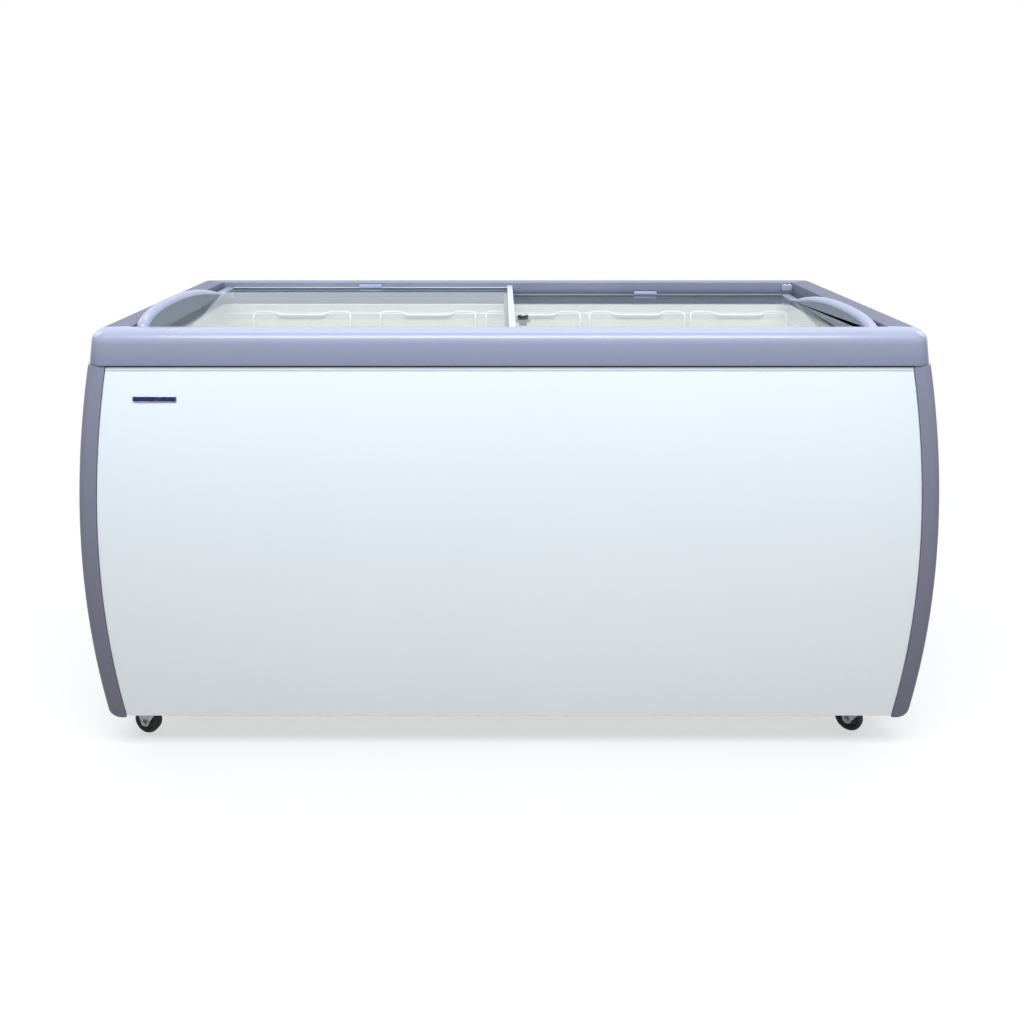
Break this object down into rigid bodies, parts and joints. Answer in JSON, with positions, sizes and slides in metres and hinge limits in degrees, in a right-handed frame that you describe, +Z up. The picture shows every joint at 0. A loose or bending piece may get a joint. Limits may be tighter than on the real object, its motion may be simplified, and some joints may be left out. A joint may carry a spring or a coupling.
{
  "type": "chest freezer",
  "caption": "Barrel-sided chest freezer with two flat sliding glass lids on two levels, hanging wire baskets and swivel casters.",
  "frame": {"origin": "on the floor under the middle of the overall box, at the wheels' contact level", "axes": "+X to the freezer's right as seen from the front, +Y towards the back, +Z up; the front faces -Y"},
  "size_m": [1.529, 0.6555, 0.83],
  "materials": {
    "white_steel": "gloss white powder coat on steel sheet",
    "grey_plastic": "satin grey-lavender moulded plastic",
    "tank_coated": "off-white coated sheet",
    "foam": "rigid polyurethane foam",
    "glass": "tempered clear glass",
    "white_plastic": "satin white extruded plastic",
    "lamp_lens": "green lens",
    "wire_white": "white plastic-dipped steel wire",
    "galvanised": "zinc plated steel",
    "wheel_black": "matt black wheel",
    "seal_rubber": "black brush seal",
    "black_plastic": "black plastic",
    "black_enamel": "black enamel",
    "chrome": "polished",
    "copper": "bare copper",
    "badge_navy": "plain navy enamel"
  },
  "bodies": {
    "cabinet": {"base_pan": "galvanised", "frame_front_rail": "grey_plastic", "frame_rear_rail": "grey_plastic", "frame_left_rail": "grey_plastic", "frame_right_rail": "grey_plastic", "front_left_post": "grey_plastic", "front_right_post": "grey_plastic", "rear_left_post": "grey_plastic", "rear_right_post": "grey_plastic", "front_panel": "white_steel", "rear_panel": "white_steel", "left_panel": "white_steel", "right_panel": "white_steel", "inner_tank": "tank_coated", "insulation_foam": "foam", "blank_badge": "badge_navy", "drain_tube": "white_plastic", "drain_cap": "black_plastic", "vent_grille": "grey_plastic", "power_lamp": "lamp_lens", "thermostat_cup": "black_plastic", "compressor": "black_enamel", "condenser_coil": "copper", "fan_shroud": "galvanised", "fan_motor": "black_enamel", "filter_drier": "copper", "cord_gland": "black_plastic", "front_left_caster_plate": "galvanised", "front_right_caster_plate": "galvanised", "rear_left_caster_plate": "galvanised", "rear_right_caster_plate": "galvanised"},
    "left_lid": {"left_glass": "glass", "left_handle": "grey_plastic", "left_lid_frame": "white_plastic", "left_lid_clip": "white_plastic", "left_lid_seal": "seal_rubber"},
    "right_lid": {"right_glass": "glass", "right_handle": "grey_plastic", "right_lid_frame": "white_plastic", "right_lid_clip": "white_plastic", "lock_barrel": "black_plastic"},
    "lock_plunger": {"lock_plunger": "chrome"},
    "lock_plug": {"lock_plug": "chrome"},
    "thermostat_knob": {"thermostat_knob": "black_plastic"},
    "fan_rotor": {"fan_blades": "black_plastic"},
    "basket_1": {"basket_1": "wire_white"},
    "basket_2": {"basket_2": "wire_white"},
    "basket_3": {"basket_3": "wire_white"},
    "basket_4": {"basket_4": "wire_white"},
    "basket_5": {"basket_5": "wire_white"},
    "front_left_fork": {"front_left_fork": "galvanised"},
    "front_left_wheel": {"front_left_wheel": "wheel_black"},
    "front_left_brake_pedal": {"front_left_brake_pedal": "black_plastic"},
    "front_right_fork": {"front_right_fork": "galvanised"},
    "front_right_wheel": {"front_right_wheel": "wheel_black"},
    "front_right_brake_pedal": {"front_right_brake_pedal": "black_plastic"},
    "rear_left_fork": {"rear_left_fork": "galvanised"},
    "rear_left_wheel": {"rear_left_wheel": "wheel_black"},
    "rear_right_fork": {"rear_right_fork": "galvanised"},
    "rear_right_wheel": {"rear_right_wheel": "wheel_black"}
  },
  "joints": [
    {"name": "left_lid_slide", "type": "slide", "parent": "cabinet", "child": "left_lid", "axis": [1, 0, 0], "range_m": [0, 0.629]},
    {"name": "right_lid_slide", "type": "slide", "parent": "cabinet", "child": "right_lid", "axis": [1, 0, 0], "range_m": [-0.629, 0]},
    {"name": "lock_plunger_slide", "type": "slide", "parent": "right_lid", "child": "lock_plunger", "axis": [0, 0, 1], "range_m": [0, 0.003]},
    {"name": "lock_plug_turn", "type": "hinge", "parent": "lock_plunger", "child": "lock_plug", "pos_m": [0.03, -0.0232, 0.775], "axis": [0, 0, 1], "range_deg": [0, 90]},
    {"name": "thermostat_knob_turn", "type": "hinge", "parent": "cabinet", "child": "thermostat_knob", "pos_m": [0.748, 0.215, 0.272], "axis": [1, 0, 0], "range_deg": [-135, 135]},
    {"name": "fan_spin", "type": "hinge", "parent": "cabinet", "child": "fan_rotor", "pos_m": [0.6, -0.06, 0.2], "axis": [0, 1, 0], "continuous": true},
    {"name": "basket_1_slide", "type": "slide", "parent": "cabinet", "child": "basket_1", "axis": [1, 0, 0], "range_m": [-0.065, 0.062]},
    {"name": "basket_2_slide", "type": "slide", "parent": "cabinet", "child": "basket_2", "axis": [1, 0, 0], "range_m": [-0.062, 0.016]},
    {"name": "basket_3_slide", "type": "slide", "parent": "cabinet", "child": "basket_3", "axis": [1, 0, 0], "range_m": [-0.016, 0.014]},
    {"name": "basket_4_slide", "type": "slide", "parent": "cabinet", "child": "basket_4", "axis": [1, 0, 0], "range_m": [-0.014, 0.006]},
    {"name": "basket_5_slide", "type": "slide", "parent": "cabinet", "child": "basket_5", "axis": [1, 0, 0], "range_m": [-0.006, 0.006]},
    {"name": "front_left_swivel", "type": "hinge", "parent": "cabinet", "child": "front_left_fork", "pos_m": [-0.677, -0.247, 0.0745], "axis": [0, 0, 1], "continuous": true},
    {"name": "front_left_wheel_spin", "type": "hinge", "parent": "front_left_fork", "child": "front_left_wheel", "pos_m": [-0.69632, -0.24182, 0.0255], "axis": [-0.2588, -0.9659, 0], "continuous": true},
    {"name": "front_left_brake", "type": "hinge", "parent": "front_left_fork", "child": "front_left_brake_pedal", "pos_m": [-0.70501, -0.23949, 0.056], "axis": [0.2588, 0.9659, 0], "range_deg": [0, 12]},
    {"name": "front_right_swivel", "type": "hinge", "parent": "cabinet", "child": "front_right_fork", "pos_m": [0.677, -0.247, 0.0745], "axis": [0, 0, 1], "continuous": true},
    {"name": "front_right_wheel_spin", "type": "hinge", "parent": "front_right_fork", "child": "front_right_wheel", "pos_m": [0.66168, -0.23414, 0.0255], "axis": [-0.6428, -0.766, 0], "continuous": true},
    {"name": "front_right_brake", "type": "hinge", "parent": "front_right_fork", "child": "front_right_brake_pedal", "pos_m": [0.65478, -0.22836, 0.056], "axis": [0.6428, 0.766, 0], "range_deg": [0, 12]},
    {"name": "rear_left_swivel", "type": "hinge", "parent": "cabinet", "child": "rear_left_fork", "pos_m": [-0.677, 0.262, 0.0745], "axis": [0, 0, 1], "continuous": true},
    {"name": "rear_left_wheel_spin", "type": "hinge", "parent": "rear_left_fork", "child": "rear_left_wheel", "pos_m": [-0.68384, 0.28079, 0.0255], "axis": [-0.9397, -0.342, 0], "continuous": true},
    {"name": "rear_right_swivel", "type": "hinge", "parent": "cabinet", "child": "rear_right_fork", "pos_m": [0.677, 0.262, 0.0745], "axis": [0, 0, 1], "continuous": true},
    {"name": "rear_right_wheel_spin", "type": "hinge", "parent": "rear_right_fork", "child": "rear_right_wheel", "pos_m": [0.687, 0.27932, 0.0255], "axis": [-0.866, 0.5, 0], "continuous": true}
  ]
}
